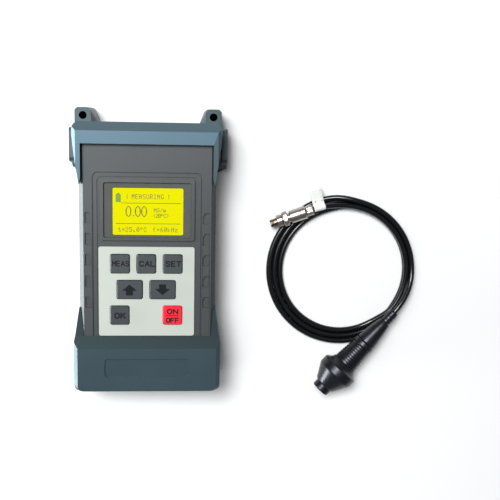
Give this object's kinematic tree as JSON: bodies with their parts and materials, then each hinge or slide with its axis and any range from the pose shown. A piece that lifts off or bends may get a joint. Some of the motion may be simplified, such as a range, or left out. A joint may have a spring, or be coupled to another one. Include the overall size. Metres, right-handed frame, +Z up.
{
  "type": "moisture meter",
  "caption": "Handheld test meter in a grey case with end bumpers, yellow display, keypad and tilt stand, with a detached flared probe on a coiled cable ending in a push-pull plug.",
  "frame": {"origin": "centre of the base of the meter and its probe, on the surface that they lie on; the cable and its plug are not counted", "axes": "+X across the meter towards the probe, +Y along the meter towards its strap lugs, +Z up out of the display"},
  "size_m": [0.2452, 0.2032, 0.046],
  "materials": {
    "case_grey": "fine satin moulded plastic",
    "bumper_blue": "satin moulded blue-grey plastic",
    "bezel_grey": "satin",
    "lens": "clear polished window",
    "lcd_yellow": "backlit yellow display",
    "overlay_white": "fine matt printed film",
    "key_slate": "soft matt silicone",
    "key_red": "soft matt silicone",
    "stand_dark": "satin",
    "cell_jacket": "gloss jacket",
    "contact_metal": "plated spring steel",
    "screw_steel": "plated",
    "circuit_board": "green solder mask",
    "black_plastic": "gloss",
    "nickel": "bright nickel plate",
    "insert_tan": "moulded insert with gold pins",
    "probe_black": "satin black turned plastic",
    "copper_wire": "enamelled copper wire",
    "ferrite": "sintered ferrite",
    "cord_black": "glossy black jacket",
    "label_white": "white adhesive flag label"
  },
  "bodies": {
    "root": {"front_case": "case_grey", "rear_case": "case_grey", "aa_cell_1": "cell_jacket", "aa_cell_2": "cell_jacket", "aa_cell_3": "cell_jacket", "aa_cell_4": "cell_jacket", "battery_contacts_upper": "contact_metal", "battery_contacts_lower": "contact_metal", "top_bumper": "bumper_blue", "bottom_bumper": "bumper_blue", "display_bezel": "bezel_grey", "display_lens": "lens", "lcd_panel": "lcd_yellow", "lcd_board": "circuit_board", "lcd_header": "black_plastic", "keypad_overlay": "overlay_white", "dome_sheet": "contact_metal", "main_board": "circuit_board", "board_screw_1": "screw_steel", "board_screw_2": "screw_steel", "board_screw_3": "screw_steel", "board_screw_4": "screw_steel", "case_screw_1": "screw_steel", "case_screw_2": "screw_steel", "case_screw_3": "screw_steel", "case_screw_4": "screw_steel", "probe_socket": "nickel", "socket_insert": "insert_tan", "socket_nut": "nickel", "stand_pin_right": "screw_steel", "stand_pin_left": "screw_steel"},
    "meas_key": {"meas_key": "key_slate"},
    "cal_key": {"cal_key": "key_slate"},
    "set_key": {"set_key": "key_slate"},
    "up_key": {"up_key": "key_slate"},
    "down_key": {"down_key": "key_slate"},
    "ok_key": {"ok_key": "key_slate"},
    "power_key": {"power_key": "key_red"},
    "tilt_stand": {"tilt_stand": "stand_dark"},
    "battery_door": {"battery_door": "case_grey"},
    "probe_set": {"probe_tip": "probe_black", "sensor_coil": "copper_wire", "ferrite_core": "ferrite", "probe_skirt": "probe_black", "probe_body": "probe_black", "probe_collar": "probe_black", "probe_tail": "probe_black", "cord_boot": "probe_black", "cord_coil": "cord_black", "cord_probe_lead": "cord_black", "cord_plug_lead": "cord_black", "plug_back_nut": "nickel", "plug_barrel": "nickel", "plug_front_sleeve": "nickel", "plug_insert": "insert_tan", "cord_label": "label_white"},
    "plug_sleeve": {"plug_sleeve": "nickel"}
  },
  "joints": [
    {"name": "meas_press", "type": "slide", "parent": "root", "child": "meas_key", "axis": [0, 0, -1], "range_m": [0, 0.0009], "stiffness_N_per_m": 1800},
    {"name": "cal_press", "type": "slide", "parent": "root", "child": "cal_key", "axis": [0, 0, -1], "range_m": [0, 0.0009], "stiffness_N_per_m": 1800},
    {"name": "set_press", "type": "slide", "parent": "root", "child": "set_key", "axis": [0, 0, -1], "range_m": [0, 0.0009], "stiffness_N_per_m": 1800},
    {"name": "up_press", "type": "slide", "parent": "root", "child": "up_key", "axis": [0, 0, -1], "range_m": [0, 0.0009], "stiffness_N_per_m": 1800},
    {"name": "down_press", "type": "slide", "parent": "root", "child": "down_key", "axis": [0, 0, -1], "range_m": [0, 0.0009], "stiffness_N_per_m": 1800},
    {"name": "ok_press", "type": "slide", "parent": "root", "child": "ok_key", "axis": [0, 0, -1], "range_m": [0, 0.0009], "stiffness_N_per_m": 1800},
    {"name": "power_press", "type": "slide", "parent": "root", "child": "power_key", "axis": [0, 0, -1], "range_m": [0, 0.0009], "stiffness_N_per_m": 1800},
    {"name": "stand_hinge", "type": "hinge", "parent": "root", "child": "tilt_stand", "pos_m": [-0.06258, 0.07695, 0.014], "axis": [1, 0, 0], "range_deg": [0, 60]},
    {"name": "door_hinge", "type": "hinge", "parent": "root", "child": "battery_door", "pos_m": [-0.06258, -0.04985, 0.004], "axis": [-1, 0, 0], "range_deg": [0, 80]},
    {"name": "probe_lift", "type": "slide", "parent": "root", "child": "probe_set", "axis": [0, 0, 1], "range_m": [0, 0.2]},
    {"name": "sleeve_pull", "type": "slide", "parent": "probe_set", "child": "plug_sleeve", "axis": [0.9391, 0.3381, 0.061], "range_m": [0, 0.0009], "stiffness_N_per_m": 3000}
  ]
}
